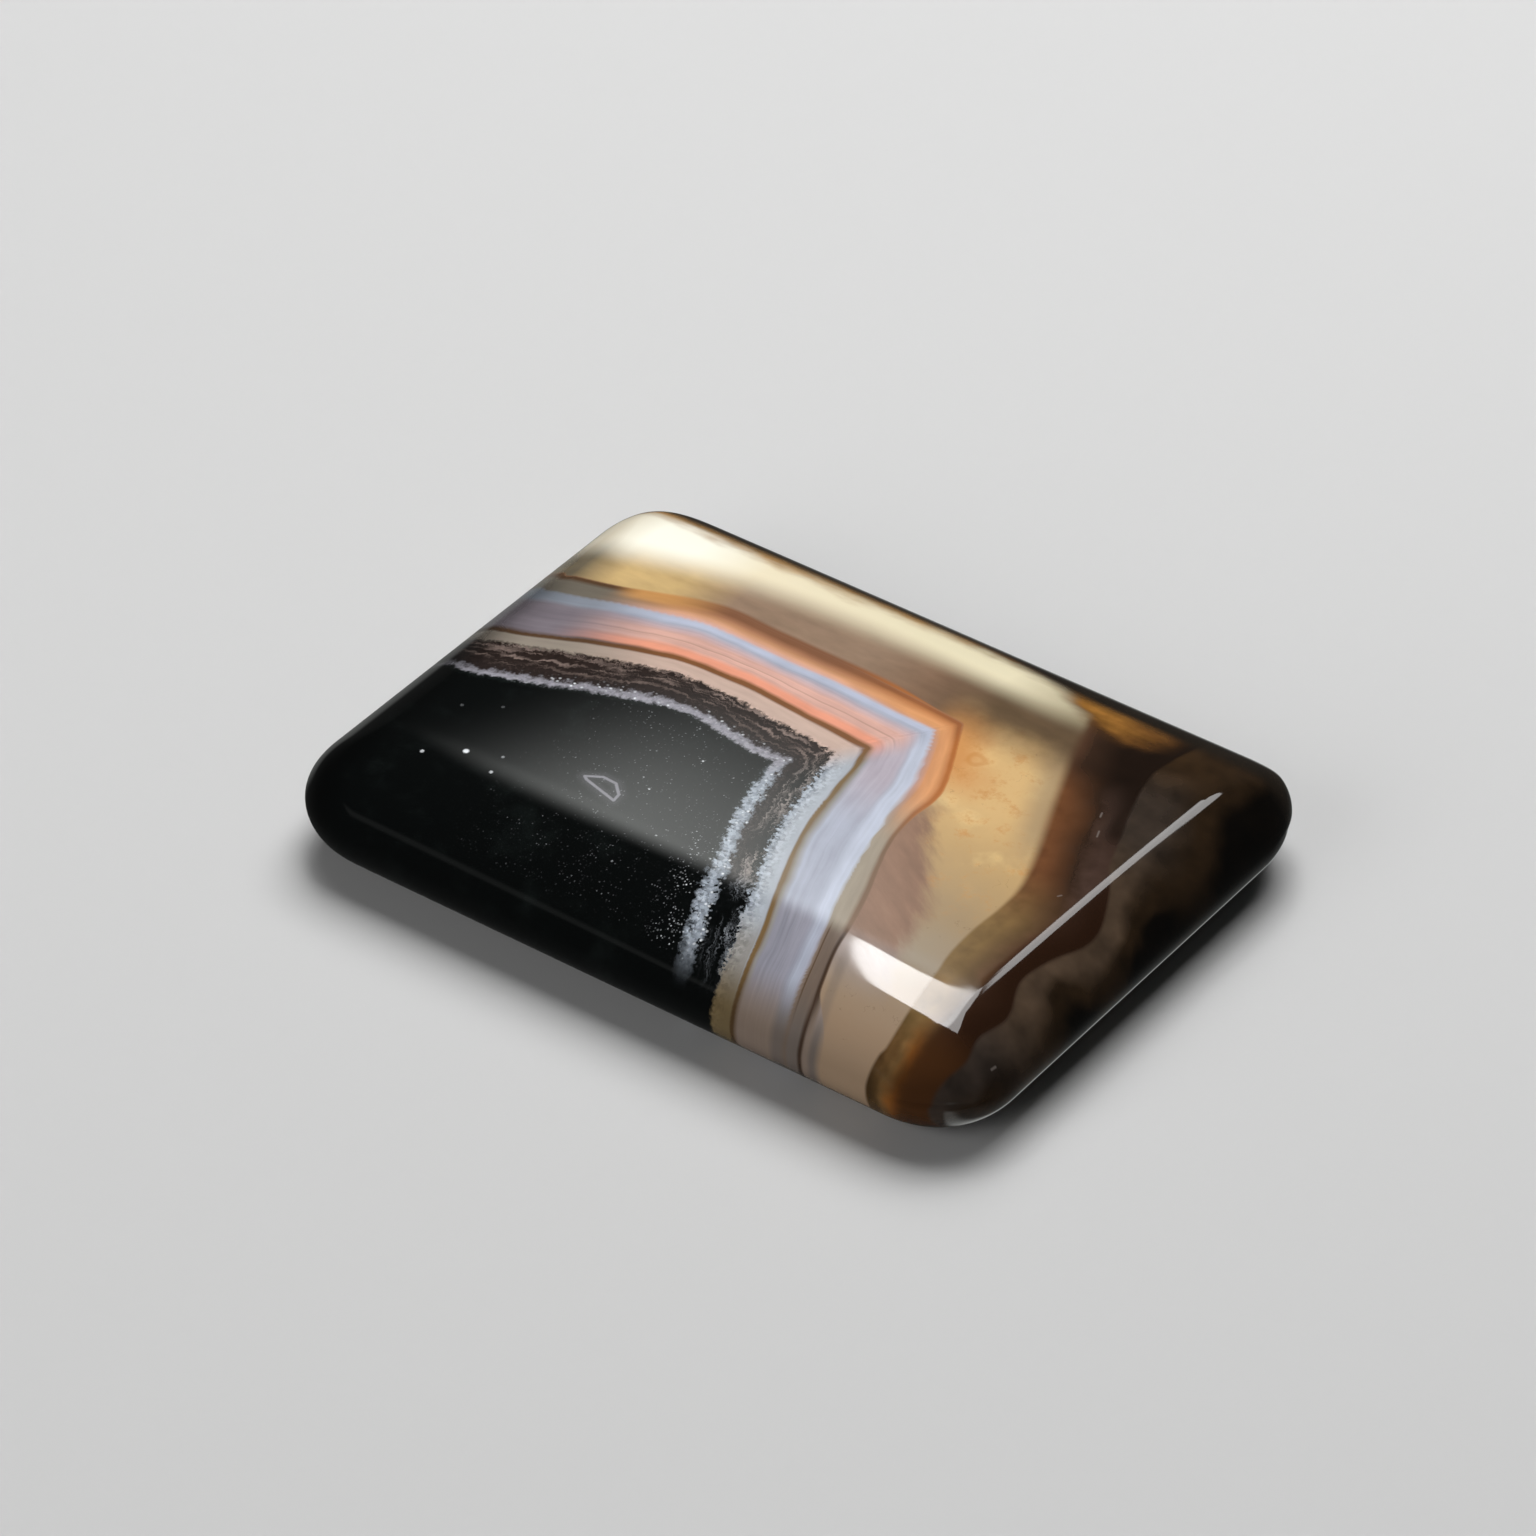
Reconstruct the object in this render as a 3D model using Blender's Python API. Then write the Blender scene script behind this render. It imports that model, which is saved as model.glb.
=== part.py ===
"""Agate cabochon: one polished stone with a flat base, rolled edges and a low domed top.

Seen from above it is a rectangle with round corners. The two short ends fall away from the top
at a soft crease, and the two long sides roll over more gently, so where an end meets a long side
a hip runs down into the corner. The stone is one solid. Its bands are only colour.

Units are metres. The origin is at the middle of the flat base, +X runs along the stone and +Z up.
"""
import math

import bmesh
import bpy

# Overall size
LENGTH = 0.0400
WIDTH = 0.0299
HEIGHT = 0.0059

# Outline seen from above, at the girdle, which is the widest line round the stone
CORNER_RADIUS = 0.0047
CORNER_POWER = 2.2          # 2 would be a true circle, more is squarer
TOP_TIGHTENING = 1.2        # how fast the corner radius shrinks as the outline moves in over the top
BASE_TIGHTENING = 0.8       # the same towards the base
SMALLEST_RADIUS = 0.0003

# Side view, from the base upwards
GIRDLE_Z = 0.0027
BASE_ROLL = 0.0031          # how far in from the girdle the flat base starts
CROWN = 0.00045             # how far the middle of the top stands above its edge
SHOULDER = HEIGHT - GIRDLE_Z - CROWN
END_ROLL = 0.0030           # how far in from the girdle each end reaches the top
SIDE_ROLL = 0.0064          # the same for each long side
END_POWER = 1.25            # near 1 gives the ends their crease
SIDE_POWER = 2.0            # 2 is a smooth quarter of an ellipse
HIP_SOFTNESS = 0.8          # how far the hip melts away on its way down to the girdle

# How finely the surface is divided
ARC_STEPS = 24
END_STEPS = 16
SIDE_STEPS = 14
BASE_STEPS = 7
TOP_STEPS = 12
DOME_SCALES = (0.96, 0.92, 0.87, 0.81, 0.74, 0.65, 0.54, 0.41, 0.27, 0.13)

STONE_COLOUR = (0.20, 0.13, 0.08, 1.0)
STONE_ROUGHNESS = 0.06
STONE_IOR = 1.54


def clear_scene():
    """Start from an empty scene."""
    for old in list(bpy.data.objects):
        bpy.data.objects.remove(old)


def rise(distance, roll, power):
    """Height above the girdle of a rolled edge, at a distance in from the outline."""
    left = min(max(1 - distance / roll, 0.0), 1.0)
    return SHOULDER * math.sqrt(1 - left ** power)


def top_height(x, y, inset):
    """Height of the top surface over a point that lies inset from the outline."""
    end = rise(inset, END_ROLL, END_POWER)
    side = rise(WIDTH / 2 - abs(y), SIDE_ROLL, SIDE_POWER)
    lower = min(end, side)
    blend = HIP_SOFTNESS * lower * (1 - lower / SHOULDER)
    if blend > 0:
        lower -= max(blend - abs(end - side), 0.0) ** 2 / (4 * blend)
    dome = CROWN * (1 - (2 * x / LENGTH) ** 2) * (1 - (2 * y / WIDTH) ** 2)
    return GIRDLE_Z + lower + dome * lower / SHOULDER


def hip_y(inset):
    """Where the outline crosses the hip: there the end and the long side have the same height."""
    left = max(1 - inset / END_ROLL, 0.0) ** (END_POWER / SIDE_POWER)
    return WIDTH / 2 - SIDE_ROLL * (1 - left)


def quarter_outline(inset, tightening):
    """A quarter of the outline moved inwards, from the middle of an end to the middle of a side."""
    radius = max(CORNER_RADIUS - tightening * inset, SMALLEST_RADIUS)
    centre_x = LENGTH / 2 - inset - radius
    centre_y = WIDTH / 2 - inset - radius
    points = [(centre_x + radius, 0.0)]
    for step in range(ARC_STEPS + 1):
        angle = step / ARC_STEPS * math.pi / 2
        across = max(math.cos(angle), 0.0) ** (2 / CORNER_POWER)
        along = max(math.sin(angle), 0.0) ** (2 / CORNER_POWER)
        points.append((centre_x + radius * across, centre_y + radius * along))
    points.append((0.0, centre_y + radius))
    return points


def walk(points, wanted):
    """The point at a wanted distance along a line of points."""
    for first, second in zip(points, points[1:]):
        length = math.dist(first, second)
        if wanted <= length:
            part = wanted / length
            return tuple(start + (end - start) * part for start, end in zip(first, second))
        wanted -= length
    return points[-1]


def spaced_quarter(inset, tightening, split_y):
    """The quarter outline in even steps, with one point where it comes up to split_y."""
    points = quarter_outline(inset, tightening)
    split_y = min(split_y, points[-1][1])
    to_split = 0.0
    total = 0.0
    for first, second in zip(points, points[1:]):
        length = math.dist(first, second)
        if first[1] < split_y <= second[1]:
            to_split = total + length * (split_y - first[1]) / (second[1] - first[1])
        total += length
    spots = [to_split * step / END_STEPS for step in range(END_STEPS)]
    spots += [to_split + (total - to_split) * step / SIDE_STEPS for step in range(SIDE_STEPS + 1)]
    return [walk(points, spot) for spot in spots]


def outline(inset, tightening, split_y):
    """The whole outline moved inwards by inset, anticlockwise from the middle of the +X end."""
    quarter = spaced_quarter(inset, tightening, split_y)
    half = quarter + [(-x, y) for x, y in quarter[-2::-1]]
    return half + [(x, -y) for x, y in half[-2:0:-1]]


def base_rings():
    """Rings from the edge of the flat base out to the girdle."""
    for step in range(BASE_STEPS + 1):
        angle = step / BASE_STEPS * math.pi / 2
        inset = BASE_ROLL * (1 - math.sin(angle))
        height = GIRDLE_Z * (1 - math.cos(angle))
        yield [(x, y, height) for x, y in outline(inset, BASE_TIGHTENING, WIDTH / 2)]


def top_rings():
    """Rings from the girdle in towards the middle of the top, each with a point on the hip."""
    for step in range(1, TOP_STEPS + 1):
        hip_left = 1 - (step / TOP_STEPS) ** 2
        inset = END_ROLL * (1 - hip_left ** (SIDE_POWER / END_POWER))
        rim = outline(inset, TOP_TIGHTENING, hip_y(inset))
        yield [(x, y, top_height(x, y, inset)) for x, y in rim]
    for scale in DOME_SCALES:
        inner = [(x * scale, y * scale) for x, y in rim]
        yield [(x, y, top_height(x, y, END_ROLL)) for x, y in inner]


def stone_material():
    """Polished stone in the mean colour of the bands."""
    material = bpy.data.materials.new("polished_agate")
    material.use_nodes = True
    shader = material.node_tree.nodes["Principled BSDF"]
    shader.inputs["Base Color"].default_value = STONE_COLOUR
    shader.inputs["Roughness"].default_value = STONE_ROUGHNESS
    shader.inputs["Metallic"].default_value = 0.0
    shader.inputs["IOR"].default_value = STONE_IOR
    material.diffuse_color = STONE_COLOUR
    return material


def join_rings(shell, lower, upper):
    """A band of four-sided faces between two rings of points."""
    for index in range(len(lower)):
        shell.faces.new((lower[index - 1], lower[index], upper[index], upper[index - 1]))


def make_stone():
    """Join the rings from the base to the top and close both ends."""
    shell = bmesh.new()
    rings = [[shell.verts.new(point) for point in ring] for ring in (*base_rings(), *top_rings())]
    for lower, upper in zip(rings, rings[1:]):
        join_rings(shell, lower, upper)
    shell.faces.new(rings[0][::-1])
    cap = shell.faces.new(rings[-1])
    centre = bmesh.ops.poke(shell, faces=[cap])["verts"][0]
    centre.co = (0.0, 0.0, HEIGHT)

    mesh = bpy.data.meshes.new("agate_cabochon")
    shell.to_mesh(mesh)
    shell.free()
    mesh.shade_smooth()
    mesh.materials.append(stone_material())
    stone = bpy.data.objects.new("agate_cabochon", mesh)
    bpy.context.scene.collection.objects.link(stone)


clear_scene()
make_stone()
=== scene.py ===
"""Looks of the agate cabochon: a fine mesh of the stone, its bands and polish, and a plain studio.

The stone is made by the same rules as its solid, in much finer steps, and the crease of its brown
end leans a little. Its bands run straight down through it, so each point's band depends only on
where it lies seen from above. The lines between the bands are drawn as curves, and every point of
the mesh keeps its distances to them. The material turns those distances into colour.

Units are metres for the object and millimetres for the bands.
"""

import math

import bpy
import numpy as np
from mathutils import Matrix, Vector


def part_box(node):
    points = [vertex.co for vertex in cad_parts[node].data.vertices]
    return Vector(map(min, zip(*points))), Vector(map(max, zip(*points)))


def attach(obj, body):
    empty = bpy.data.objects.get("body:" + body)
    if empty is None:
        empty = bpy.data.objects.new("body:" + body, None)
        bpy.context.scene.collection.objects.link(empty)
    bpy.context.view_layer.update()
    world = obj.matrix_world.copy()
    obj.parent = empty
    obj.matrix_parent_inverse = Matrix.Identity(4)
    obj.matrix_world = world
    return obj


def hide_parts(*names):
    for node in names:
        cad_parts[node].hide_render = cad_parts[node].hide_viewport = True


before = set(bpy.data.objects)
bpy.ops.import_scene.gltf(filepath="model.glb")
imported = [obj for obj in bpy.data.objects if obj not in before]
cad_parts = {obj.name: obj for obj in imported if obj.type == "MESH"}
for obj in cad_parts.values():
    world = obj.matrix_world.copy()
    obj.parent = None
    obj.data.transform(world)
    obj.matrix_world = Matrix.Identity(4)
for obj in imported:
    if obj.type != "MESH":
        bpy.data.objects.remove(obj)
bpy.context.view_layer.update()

MM = 0.001

# Size of the stone, from the frame
LOW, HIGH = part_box("agate_cabochon")
LENGTH = round(HIGH.x - LOW.x, 5)
WIDTH = round(HIGH.y - LOW.y, 5)
HEIGHT = round(HIGH.z - LOW.z, 5)

# Outline seen from above
CORNER_RADIUS = 0.0047
CORNER_POWER = 2.2
TOP_TIGHTENING = 1.2
BASE_TIGHTENING = 0.8
SMALLEST_RADIUS = 0.0003

# Side view, from the base upwards
GIRDLE_Z = 0.0027
BASE_ROLL = 0.0031
CROWN = 0.00045
SHOULDER = HEIGHT - GIRDLE_Z - CROWN
END_ROLL = 0.0030
SIDE_ROLL = 0.0064
END_POWER = 1.25
SIDE_POWER = 2.0
HIP_SOFTNESS = 0.8
CREASE_SLANT = 0.033        # how far the brown end's crease leans out per length along it

# How finely the stone is divided
ARC_STEPS = 160
END_STEPS = 88
SIDE_STEPS = 96
BASE_STEPS = 20
TOP_STEPS = 44
DOME_STEPS = 44

# The photograph's camera
PHOTO_AZIMUTH = math.radians(36.285)
PHOTO_ELEVATION = math.radians(37.92)
CAMERA_DISTANCE = 0.346
AIM_RIGHT = -0.001358
AIM_UP = 0.00382
SENSOR = 36.0
LENS = 171.0
CLIP_START = 0.01

# Lines between the bands, seen from above in millimetres. Each has an upper arm, from the black end
# to the bend, and a lower arm, from the bend to the front side.
BAND_LINES = {
    "white": (
        [(-24, -3.4), (-18.3, -3.5), (-16.8, -3.8), (-14.4, -3.1), (-12.1, -2.2), (-9.6, -1.3),
         (-7.4, -0.6), (-5.4, -0.4), (-3.3, -0.8), (-1.2, -1.0), (0.0, -0.9)],
        [(0.0, -0.9), (0.1, -2.0), (0.45, -3.5), (1.05, -5.8), (2.1, -8.3), (2.8, -10.3), (3.5, -12.0),
         (4.1, -13.9), (4.6, -15.5), (6.0, -20)],
    ),
    "jagged": (
        [(-24, -0.9), (-18.6, -1.1), (-17.5, -1.3), (-16.0, -0.95), (-12.8, 0.2), (-10.4, 1.0), (-8.0, 1.6),
         (-5.2, 1.6), (-1.7, 1.3), (1.5, 0.9)],
        [(1.5, 0.9), (1.9, -0.8), (2.3, -3.0), (2.6, -4.7), (3.3, -6.9), (4.2, -9.1), (4.9, -10.9),
         (5.5, -12.6), (6.1, -15.0), (7.4, -20)],
    ),
    "brown": (
        [(-24, 0.0), (-18.3, -0.1), (-17.1, -0.35), (-15.5, 0.2), (-13.1, 1.2), (-10.1, 2.2), (-8.3, 2.6),
         (-5.2, 2.7), (-2.1, 2.5), (2.5, 2.1)],
        [(2.5, 2.1), (2.9, 0.5), (3.2, -1.5), (3.6, -3.8), (4.3, -6.1), (5.1, -8.3), (6.1, -10.7),
         (6.7, -12.9), (7.2, -14.9), (8.4, -20)],
    ),
    "blue": (
        [(-24, 4.3), (-18.8, 4.1), (-17.7, 3.6), (-16.6, 3.6), (-14.3, 4.4), (-12.1, 5.0), (-9.7, 5.6),
         (-7.3, 5.6), (-3.7, 5.5), (0, 5.4), (4.3, 5.2)],
        [(4.3, 5.2), (4.9, 3.9), (5.8, 1.6), (6.3, -0.8), (6.8, -3.1), (7.3, -5.1), (7.9, -7.2),
         (8.6, -9.4), (9.3, -11.6), (9.8, -13.6), (10.2, -15.1), (11.4, -20)],
    ),
    "orange": (
        [(-24, 5.9), (-18.6, 5.5), (-17.6, 5.0), (-16.2, 5.2), (-14.6, 5.6), (-12.9, 6.1), (-9.5, 7.0),
         (-6.6, 6.9), (-2.7, 6.8), (0.3, 6.7), (5.0, 6.35)],
        [(5.0, 6.35), (6.9, 2.4), (7.3, 0.8), (7.2, -0.9), (7.4, -2.8), (8.1, -4.9), (8.8, -6.7),
         (9.4, -8.7), (9.8, -10.6), (10.4, -12.5), (11.1, -14.9), (12.2, -20)],
    ),
}

# Waves that cross the brown end, from the back to the front
WAVES = {
    "honey_edge": [(8.6, 24), (9.3, 12.0), (9.7, 9.8), (10.2, 8.0), (11.0, 5.9), (12.0, 3.4), (13.0, 1.0),
                   (14.0, -1.7), (14.2, -3.7), (14.1, -5.7), (14.2, -7.8), (14.5, -9.4), (14.9, -13.3),
                   (14.7, -14.5), (14.6, -20)],
    "smoke_edge": [(15.0, 24), (14.4, 11.0), (14.3, 8.5), (15.0, 5.8), (15.8, 3.7), (16.5, 1.8),
                   (17.4, 0.5), (18.3, -1.5), (18.4, -3.0), (17.9, -5.0), (17.7, -7.1), (18.4, -9.1),
                   (18.2, -11.1), (18.4, -12.4), (18.0, -13.6), (17.7, -15), (17.6, -20)],
}

# Inner edge of the cream strip along the back, a painted glow of light through the back edge
CREAM_EDGE = [(-24, 8.6), (-17.6, 8.1), (-15.2, 8.5), (-12.4, 9.2), (-7.1, 9.9), (-1.3, 10.1), (4.8, 10.0),
              (9.8, 9.9), (24, 10.6)]

# The upper and the lower arm part along the line through the bends: where it crosses the middle of
# the stone, and the direction across it
BENDS_START = -0.9
BENDS_ACROSS = (0.823, -0.568)

# A blurred ring in the honey
RING_MIDDLE = (7.13, 4.46)
RING_RADIUS = 0.42

# Single specks in the black core: place seen from above, radius and brightness
LONE_SPECKS = [
    (-12.71, -8.95, 0.20, 0.95), (-14.48, -10.05, 0.14, 0.6), (-15.07, -6.26, 0.12, 0.08),
    (-13.36, -5.29, 0.12, 0.08), (-10.99, -8.34, 0.12, 0.25), (-10.78, -9.51, 0.13, 0.55),
]

# An angular flaw in the black core, and short scratches in the polish, seen from above
FLAW = [(-6.95, -7.30), (-6.20, -6.87), (-5.40, -6.92), (-4.80, -7.50), (-4.74, -7.98), (-6.72, -7.46)]
SCRATCHES = [((14.05, 4.8), (14.15, 4.5)), ((14.7, 3.6), (14.85, 3.2)), ((15.95, -1.3), (15.85, -1.45)),
             ((19.3, -11.65), (19.35, -11.4))]

# Polish of the stone
STONE_ROUGHNESS = 0.04
STONE_IOR = 1.54

FLOOR_SIZE = 4.0
FLOOR_GREY = 0.60
FLOOR_ROUGHNESS = 0.8

# Glows of the studio's surroundings
WORLD_COLOUR = (0.97, 1.0, 0.97, 1.0)
DIM_GLOW = 0.035
SHEEN_GLOW = 2.3
BROWN_END_GLOW = 0.45
BROWN_END_HALO = 0.06
BLACK_END_GLOW = 0.16
FRONT_SIDE_GLOW = 0.12
FRONT_GLOW_TILT = (0.618, -0.523, 0.587)    # across it, in the directions sideways, ahead and upward

# Soft panels that the polish shows as bright shapes. Each has its middle, its first direction, its
# outline in millimetres along that direction and downwards, and its glow at the left and the right.
PANELS = {
    "corner_panel": (
        (-0.104, 0.110, 0.246), (1, 0, 0),
        [(-13.9, 38), (-12.1, 2), (-11.2, -25), (-10.6, -43.6), (-7.5, -47.9), (-3.5, -51.3), (38, -73),
         (99, -83), (62, -20), (52, 4), (107, 40), (120, 60), (85, 65), (0, 63), (-0.3, 48), (-1.4, 38),
         (-5, 34.2), (-9, 36.2), (-12, 38.9)],
        13.0, 5.0,
    ),
    "end_panel": (
        (-0.028, 0.189, 0.222), (1, 0, 0.25),
        [(-52, -13), (0, -18), (20, -19), (51, -16.5), (58, -10), (60, -3), (60, 5), (64, 11), (73, 17),
         (82, 22), (85, 26), (76, 29), (-52, 29)],
        4.8, 4.8,
    ),
}
PANEL_FADE = 0.010          # how far from the middle of a panel its glow still changes

CURVE_STEP = 0.3            # spacing of the points along a smoothed line, in millimetres
FAR = 60                    # beyond the stone in every direction, in millimetres
PLACES_AT_ONCE = 2000       # how many places are measured together
TINY = 1e-12                # keeps divisions clear of zero


def rise(distance, roll, power):
    """Height above the girdle of a rolled edge, at a distance in from the outline."""
    left = np.clip(1 - distance / roll, 0, 1)
    return SHOULDER * np.sqrt(1 - left ** power)


def top_height(x, y, inset):
    """Height of the top surface over points that lie inset from the outline."""
    end = rise(inset, END_ROLL, END_POWER)
    side = rise(WIDTH / 2 - np.abs(y), SIDE_ROLL, SIDE_POWER)
    lower = np.minimum(end, side)
    blend = np.maximum(HIP_SOFTNESS * lower * (1 - lower / SHOULDER), TINY)
    lower = lower - np.maximum(blend - np.abs(end - side), 0) ** 2 / (4 * blend)
    dome = CROWN * (1 - (2 * x / LENGTH) ** 2) * (1 - (2 * y / WIDTH) ** 2)
    return GIRDLE_Z + lower + dome * lower / SHOULDER


def hip_y(inset):
    """Where the outline crosses the hip: there the end and the long side have the same height."""
    left = max(1 - inset / END_ROLL, 0.0) ** (END_POWER / SIDE_POWER)
    return WIDTH / 2 - SIDE_ROLL * (1 - left)


def quarter_outline(inset, tightening):
    """A quarter of the outline moved inwards, from the middle of an end to the middle of a side."""
    radius = max(CORNER_RADIUS - tightening * inset, SMALLEST_RADIUS)
    centre_x = LENGTH / 2 - inset - radius
    centre_y = WIDTH / 2 - inset - radius
    angle = np.linspace(0, math.pi / 2, ARC_STEPS + 1)
    across = np.clip(np.cos(angle), 0, 1) ** (2 / CORNER_POWER)
    along = np.clip(np.sin(angle), 0, 1) ** (2 / CORNER_POWER)
    x = np.concatenate(([centre_x + radius], centre_x + radius * across, [0.0]))
    y = np.concatenate(([0.0], centre_y + radius * along, [centre_y + radius]))
    return x, y


def spaced_quarter(inset, tightening, split_y):
    """The quarter outline in even steps, with one point where it comes up to split_y."""
    x, y = quarter_outline(inset, tightening)
    walked = np.concatenate(([0.0], np.cumsum(np.hypot(np.diff(x), np.diff(y)))))
    to_split = np.interp(min(split_y, y[-1]), y[:-1], walked[:-1])
    end_spots = np.linspace(0, to_split, END_STEPS, endpoint=False)
    side_spots = np.linspace(to_split, walked[-1], SIDE_STEPS + 1)
    spots = np.concatenate((end_spots, side_spots))
    return np.interp(spots, walked, x), np.interp(spots, walked, y)


def outline(inset, tightening, split_y):
    """The whole outline moved inwards by inset, anticlockwise from the middle of the +X end."""
    x, y = spaced_quarter(inset, tightening, split_y)
    half_x = np.concatenate((x, -x[-2::-1]))
    half_y = np.concatenate((y, y[-2::-1]))
    return np.concatenate((half_x, half_x[-2:0:-1])), np.concatenate((half_y, -half_y[-2:0:-1]))


def base_rings():
    """Rings from the edge of the flat base out to the girdle."""
    for angle in np.linspace(0, math.pi / 2, BASE_STEPS + 1):
        inset = BASE_ROLL * (1 - math.sin(angle))
        x, y = outline(inset, BASE_TIGHTENING, WIDTH / 2)
        yield np.stack((x, y, np.full(len(x), GIRDLE_Z * (1 - math.cos(angle)))), 1)


def slanted(x, y):
    """Lean the crease of the brown end, while the middle of the top stays in place.

    The girdle isn't moved. In the corners of that end the top above it is, so just above the girdle
    it steps out at the back corner and in at the front one, by up to 0.2 mm.
    """
    crease = LENGTH / 2 - END_ROLL
    part = np.interp(x, (crease / 2, crease, LENGTH / 2), (0, 1, 0))
    return x + CREASE_SLANT * y * part


def top_rings():
    """Rings from the girdle in towards the middle of the top, each with a point on the hip."""
    for step in range(1, TOP_STEPS + 1):
        hip_left = 1 - (step / TOP_STEPS) ** 2
        inset = END_ROLL * (1 - hip_left ** (SIDE_POWER / END_POWER))
        x, y = outline(inset, TOP_TIGHTENING, hip_y(inset))
        yield np.stack((slanted(x, y), y, top_height(x, y, inset)), 1)
    rim_x, rim_y = x, y
    for scale in np.linspace(1, 0, DOME_STEPS + 1)[1:-1]:
        x, y = rim_x * scale, rim_y * scale
        yield np.stack((slanted(x, y), y, top_height(x, y, END_ROLL)), 1)


def arm_points(corners):
    """A smooth curve through the corners of one arm, in short even steps."""
    corners = np.array(corners, float)
    before = np.vstack((2 * corners[0] - corners[1], corners, 2 * corners[-1] - corners[-2]))
    points = []
    for a, b, c, d in zip(before, before[1:], before[2:], before[3:]):
        count = max(int(math.dist(b, c) / CURVE_STEP), 1)
        t = np.linspace(0, 1, count, endpoint=False)[:, None]
        points.append(0.5 * (2 * b + (c - a) * t + (2 * a - 5 * b + 4 * c - d) * t ** 2
                             + (3 * b - a - 3 * c + d) * t ** 3))
    return np.vstack(points + [corners[-1:]])


def inside(places, polygon):
    """Which places lie inside a polygon."""
    x, y = places[:, :1], places[:, 1:]
    first, second = polygon, np.roll(polygon, -1, axis=0)
    spans = (first[:, 1] > y) != (second[:, 1] > y)
    height = np.where(second[:, 1] == first[:, 1], TINY, second[:, 1] - first[:, 1])
    crossing = first[:, 0] + (y - first[:, 1]) / height * (second[:, 0] - first[:, 0])
    return (spans & (x < crossing)).sum(1) % 2 == 1


def distance(places, line, closing):
    """Distance from places to a line, below zero where the line and the closing points enclose them."""
    first, second = line[:-1], line[1:]
    run = second - first
    long = (run ** 2).sum(1)
    polygon = np.vstack((line, closing))
    found = []
    for some in np.array_split(places, max(len(places) // PLACES_AT_ONCE, 1)):
        offset = some[:, None] - first
        part = np.clip((offset * run).sum(2) / long, 0, 1)
        nearest = np.linalg.norm(offset - run * part[:, :, None], axis=2).min(1)
        found.append(np.where(inside(some, polygon), -nearest, nearest))
    return np.concatenate(found)


def band_numbers(places):
    """A number for each place: 0 to 4 from the white line to the orange line, and beyond them the
    distance in millimetres, below 0 in the black core and above 4 outside the bands."""
    core_side = [(FAR / 2, -FAR), (-FAR, -FAR), (-FAR, 0)]
    distances = []
    for upper, lower in BAND_LINES.values():
        line = np.vstack((arm_points(upper), arm_points(lower)[1:]))
        distances.append(distance(places, line, core_side))
    band = np.where(distances[0] < 0, distances[0], 0.0)
    for number, (near, far) in enumerate(zip(distances, distances[1:])):
        between = (near >= 0) & (far < 0)
        band = np.where(between, number + near / np.maximum(near - far, TINY), band)
    last = len(distances) - 1
    return np.where(distances[-1] >= 0, last + distances[-1], band)


def make_stone():
    """The stone's mesh, with its distances to the bands and waves on every point."""
    rings = [*base_rings(), *top_rings()]
    count = len(rings[0])
    points = np.vstack(rings + [[(0.0, 0.0, HEIGHT)]])
    here = np.arange(count)
    there = np.roll(here, 1)
    faces = [tuple(here[::-1])]
    for level in range(len(rings) - 1):
        low, high = level * count, (level + 1) * count
        faces += list(zip(there + low, here + low, here + high, there + high))
    last = (len(rings) - 1) * count
    faces += [(a + last, b + last, len(points) - 1) for a, b in zip(there, here)]
    mesh = bpy.data.meshes.new("polished_stone")
    mesh.from_pydata(points.tolist(), [], [tuple(int(i) for i in face) for face in faces])
    mesh.validate()
    mesh.shade_smooth()

    places = points[:, :2] / MM
    numbers = {"band": band_numbers(places)}
    for name, corners in WAVES.items():
        numbers[name] = distance(places, arm_points(corners), [(-FAR, -FAR), (-FAR, FAR)])
    numbers["cream_edge"] = distance(places, arm_points(CREAM_EDGE), [(FAR, -FAR), (-FAR, -FAR)])
    for name, values in numbers.items():
        attribute = mesh.attributes.new(name, "FLOAT", "POINT")
        attribute.data.foreach_set("value", values.astype(np.float32))

    stone = bpy.data.objects.new("polished_stone", mesh)
    bpy.context.scene.collection.objects.link(stone)
    return stone


def paint(red, green, blue):
    """A colour as seen on a screen, turned into the light that it reflects."""
    light = []
    for part in (red, green, blue):
        part /= 255
        light.append(part / 12.92 if part <= 0.04045 else ((part + 0.055) / 1.055) ** 2.4)
    return (*light, 1.0)


# Colours of the black core and the dark band
BLACK = paint(5, 7, 7)
BLACK_CLOUD = paint(20, 25, 24)
BLACK_BROWN = paint(44, 36, 34)
EDGE_BROWN = paint(40, 30, 26)
STRAND = paint(124, 108, 101)
STRAND_GREY = paint(128, 120, 116)
STRAND_COLD = paint(134, 138, 144)
WHITE_LILAC = paint(148, 146, 154)
CRYSTAL = paint(150, 158, 168)
CRYSTAL_PALE = paint(170, 176, 184)
GRAIN_WHITE = paint(238, 242, 246)

# Colours of the upper arm
BEIGE = paint(198, 172, 158)
BEIGE_GREY = paint(146, 136, 124)
BROWN_LINE = paint(124, 82, 50)
UMBER = paint(84, 62, 44)
SALMON = paint(230, 156, 128)
PINK = paint(214, 170, 156)
PINK_BROWN = paint(184, 146, 132)
PINK_GREY = paint(196, 172, 174)
MAUVE_GREY = paint(122, 114, 121)
BLUE = paint(182, 188, 206)
BLUE_GREY = paint(132, 138, 148)
PEACH = paint(206, 152, 116)
PEACH_PALE = paint(214, 162, 128)
PEACH_DULL = paint(186, 136, 100)
PEACH_BRIGHT = paint(218, 156, 106)
PEACH_DEEP = paint(196, 132, 84)
ORANGE_BROWN = paint(160, 112, 84)
ORANGE_DARK = paint(152, 96, 60)
LINE_BACK = paint(128, 88, 64)
GOLD_BRIGHT = paint(204, 150, 90)
OLIVE = paint(110, 103, 92)
OLIVE_TAN = paint(148, 122, 94)

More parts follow.
